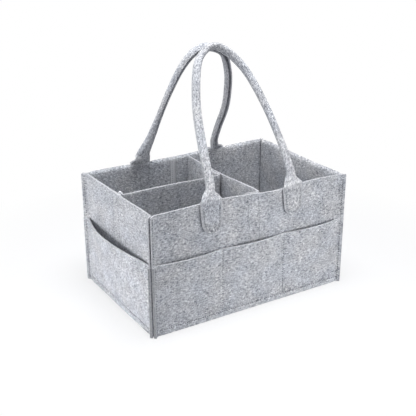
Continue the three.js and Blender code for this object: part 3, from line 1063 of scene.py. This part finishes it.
runs = []
for sign in (-1, 1):
    y = CROSS_TAPE_Y + sign * (half_tape - TAPE_INSET)
    runs.append(([(cross_tape_x - LOOP / 2, y, z) for z in inside], (-1, 0, 0)))
    runs.append(([(CROSS_X + FELT / 2, y, z) for z in inside], (1, 0, 0)))
sew("cross_divider_tape_seams", "cross_divider", runs, lightly_pit_shaded_thread)
for name, body, sign in (("front", "cross_front_flap", -1), ("back", "cross_back_flap", 1)):
    runs = []
    for x in (hook_low + TAPE_INSET, hook_high - TAPE_INSET):
        inner_x = min(x, hook_high - TAPE_INSET - FOLD_CLEARANCE)
        inner_y = sign * (CROSS_END - FELT / 2 + INNER_SUNK)
        outer_y = sign * (hook_y + HOOK / 2 - HOOK_SUNK)
        runs.append(([(inner_x, inner_y, z) for z in inside], (0, -sign, 0)))
        runs.append(([(x, outer_y, z) for z in inside], (0, sign, 0)))
    sew("cross_" + name + "_flap_seams", body, runs, lightly_pit_shaded_thread)


# Long divider
# A second felt panel halves the left side. Its ends are folded to flaps, one on the end wall and
# one on the cross divider's tape, where the fold bears on the divider. The left flap's top
# stands a little above the rim, and its tip is cut away.
LONG_Y = -9
SOFT_BEND = 8  # of the right flap's fold, a slant between two tighter bends
SLANT_BEND = 3
SLANT_START = 1.6  # beyond the middle of the right flap's felt
SLANT_END = 1  # beyond the soft bend
LEFT_FLAP = 18
RIGHT_FLAP = 15
TOP_RISE = 1.7  # of the left flap above the rim
RISE_START = -2  # along the flap from the divider's middle, as the cut of its tip
RISE_LENGTH = 9
TIP_CUT = 5
CUT_START = 11
CUT_LENGTH = 5
left_x = -(HALF_LENGTH - FELT) + STACK + FELT / 2
right_x = CROSS_X - FELT / 2 - STACK - FELT / 2
right_tip = LONG_Y + SOFT_BEND + GAP + RIGHT_FLAP
left_tip = LONG_Y - FELT / 2 + LEFT_FLAP

panel = standing_felt(
    "long_divider_felt",
    [(left_x + FLAP_BEND, LONG_Y), (right_x + SLANT_START, LONG_Y),
     (right_x, LONG_Y + SOFT_BEND + SLANT_END), (right_x, right_tip)],
    SLANT_BEND,
)
settle(panel)
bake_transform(panel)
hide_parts("long_divider_panel", "long_divider_right_flap")


def flap_top(y):
    """The height of the left flap's top edge, along the flap."""
    along = y - LONG_Y
    rise = TOP_RISE * smooth((along - RISE_START) / RISE_LENGTH)
    return HEIGHT + rise - TIP_CUT * smooth((along - CUT_START) / CUT_LENGTH)


flap = standing_felt(
    "long_divider_left_flap_felt",
    [(left_x + FLAP_BEND, LONG_Y), (left_x, LONG_Y), (left_x, left_tip)],
    SHORT_BEND,
    top=lambda u: flap_top(LONG_Y + u - FLAP_BEND),
)
settle(flap)
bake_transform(flap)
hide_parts("long_divider_left_flap")

left_root = LONG_Y + FELT / 2 + GAP
left_hook_x = left_x - FELT / 2 - GAP - HOOK / 2
right_hook_x = right_x + FELT / 2 + GAP + HOOK / 2
right_root = LONG_Y + SOFT_BEND + GAP
left_low, left_high = left_root + HOOK_MARGIN, left_tip - HOOK_MARGIN
right_low, right_high = right_root + HOOK_MARGIN, right_tip - HOOK_MARGIN
tape("left_flap_hook_tape_strip", "long_left_flap", (left_hook_x, left_high),
     (left_hook_x, left_low), hook_tape, top=lambda u: flap_top(left_high - u))
tape("right_flap_hook_tape_strip", "long_right_flap", (right_hook_x, right_low),
     (right_hook_x, right_high), hook_tape)
for name, sign, hook_x, felt_x, low, high in (
    ("left", -1, left_hook_x, left_x, left_low, left_high),
    ("right", 1, right_hook_x, right_x, right_low, right_high),
):
    runs = []
    outer_x = hook_x + sign * (HOOK / 2 - HOOK_SUNK)
    inner_x = felt_x - sign * FELT / 2
    for y in (low + TAPE_INSET, high - TAPE_INSET):
        runs.append(([(outer_x, y, z) for z in inside], (sign, 0, 0)))
        runs.append(([(inner_x, y, z) for z in inside], (-sign, 0, 0)))
    sew("long_" + name + "_flap_seams", "long_" + name + "_flap", runs, lightly_pit_shaded_thread)


# Table and light
# A white table top runs out of sight, under one broad lamp from the left, one overhead, two dim
# narrow ones low down and a dim even light from all round.


def white_table():
    """Matt white laminate. To the camera alone it glows, fully from half a metre out, so that it
    is as white as the background while the basket's shadow still shows on it."""
    material, tree = new_material("matt_white_laminate")
    paint = add(tree, "BsdfPrincipled", {
        "Base Color": linear("#f2f3f5"), "Roughness": 0.9, "Specular IOR Level": 0.1,
    })
    # To all rays but the camera's the table is this light grey rather than white, so that it
    # throws less light up under the basket and the shade there is deeper.
    bounce = add(tree, "BsdfDiffuse", {"Color": linear("#c9cacc")})
    ray = add(tree, "LightPath")
    glow = add(tree, "Emission", {"Color": linear("#ffffff"), "Strength": 1})
    place = add(tree, "TexCoord").outputs["Object"]
    from_middle = add(tree, "VectorMath", {0: place}, operation="LENGTH")
    share = add(tree, "MapRange", {
        "Value": from_middle.outputs["Value"], "From Min": 0.3, "From Max": 0.55,
        "To Min": 0.7, "To Max": 1,
    })
    both = add(tree, "MixShader", {"Fac": share, 1: paint, 2: glow})
    seen = add(tree, "MixShader", {"Fac": ray.outputs["Is Camera Ray"], 1: bounce, 2: both})
    add(tree, "OutputMaterial", {"Surface": seen})
    return material


TABLE_DEPTH = 0.0004  # metres below the floor, clear of the lowest felt
shape = bmesh.new()
bmesh.ops.create_grid(shape, x_segments=4, y_segments=4, size=6)
bmesh.ops.translate(shape, verts=shape.verts, vec=(0, 0, -TABLE_DEPTH))
table_top = into_scene("table_top", shape, [white_table()])

world = bpy.data.worlds.new("studio")
world.use_nodes = True
scene.world = world
tree = world.node_tree
tree.nodes.clear()
ray = add(tree, "LightPath")
even = add(tree, "Background", {"Color": linear("#f4f6ff"), "Strength": 0.31})
white = add(tree, "Background", {"Color": linear("#ffffff"), "Strength": 1})
seen = add(tree, "MixShader", {"Fac": ray.outputs["Is Camera Ray"], 1: even, 2: white})
add(tree, "OutputWorld", {"Surface": seen})


def lamp(name, place, aim, size, power, beam=180):
    """A square soft lamp that faces a point, with a grid before it that narrows its beam."""
    light = bpy.data.lights.new(name, "AREA")
    light.size = size
    light.energy = power
    light.spread = math.radians(beam)
    made = bpy.data.objects.new(name, light)
    made.location = place
    made.rotation_mode = "QUATERNION"
    made.rotation_quaternion = (Vector(aim) - Vector(place)).to_track_quat("-Z", "Y")
    scene.collection.objects.link(made)


lamp("lamp_left", (-1.65, 0.2, 0.3), (0, 0, 0.1), size=0.8, power=16.5)
lamp("lamp_above", (0.03, -0.15, 1.2), (0, 0, 0.1), size=0.7, power=13)
lamp("lamp_front", (0.4, -1.2, 0.12), (0.08, -0.1, 0.06), size=0.3, power=0.29, beam=34)
lamp("lamp_low_left", (-1.3, -0.35, 0.1), (-0.17, 0, 0.03), size=0.1, power=0.04, beam=16)
scene.view_settings.view_transform = "Standard"
